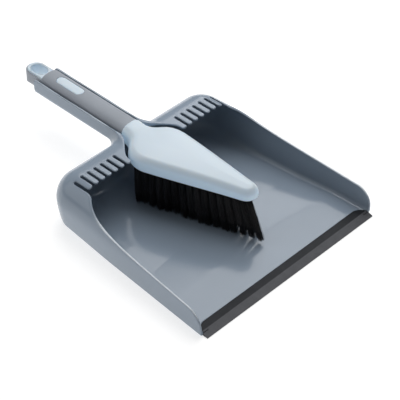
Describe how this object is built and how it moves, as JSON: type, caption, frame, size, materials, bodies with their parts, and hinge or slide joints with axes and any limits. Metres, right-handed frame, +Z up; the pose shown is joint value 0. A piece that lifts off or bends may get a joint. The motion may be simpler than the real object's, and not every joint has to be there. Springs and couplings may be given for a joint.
{
  "type": "dustpan and brush",
  "caption": "Wide plastic dustpan with a part hood, comb edge and rubber lip, and a hand brush whose handle nests in the channel of the pan.",
  "frame": {"origin": "on the ground, on the flat underside of the pan floor, in the middle of the pan's width and about halfway between lip and back wall", "axes": "+Z up; -Y out of the mouth of the pan; +Y along the handle; +X to the right when looking from the mouth along +Y"},
  "size_m": [0.2374, 0.3637, 0.065],
  "materials": {
    "pan_plastic": "satin moulded polypropylene, blue-grey",
    "lip_rubber": "matt dark grey rubber",
    "stock_plastic": "satin moulded polypropylene, pale blue",
    "grip_soft": "matt soft-touch elastomer, grey",
    "bristle": "black polypropylene filament",
    "staple_steel": "flat wire"
  },
  "bodies": {
    "dustpan": {"pan_shell": "pan_plastic", "pan_lip": "lip_rubber"},
    "brush": {"brush_stock": "stock_plastic", "grip_sleeve": "grip_soft", "tuft_row_1": "bristle", "tuft_row_2": "bristle", "tuft_row_3": "bristle", "tuft_row_4": "bristle", "tuft_row_5": "bristle", "tuft_row_6": "bristle", "tuft_staples": "staple_steel"}
  },
  "joints": [
    {"name": "brush_lift", "type": "slide", "parent": "dustpan", "child": "brush", "axis": [0, 0, 1], "range_m": [0, 0.12]}
  ]
}
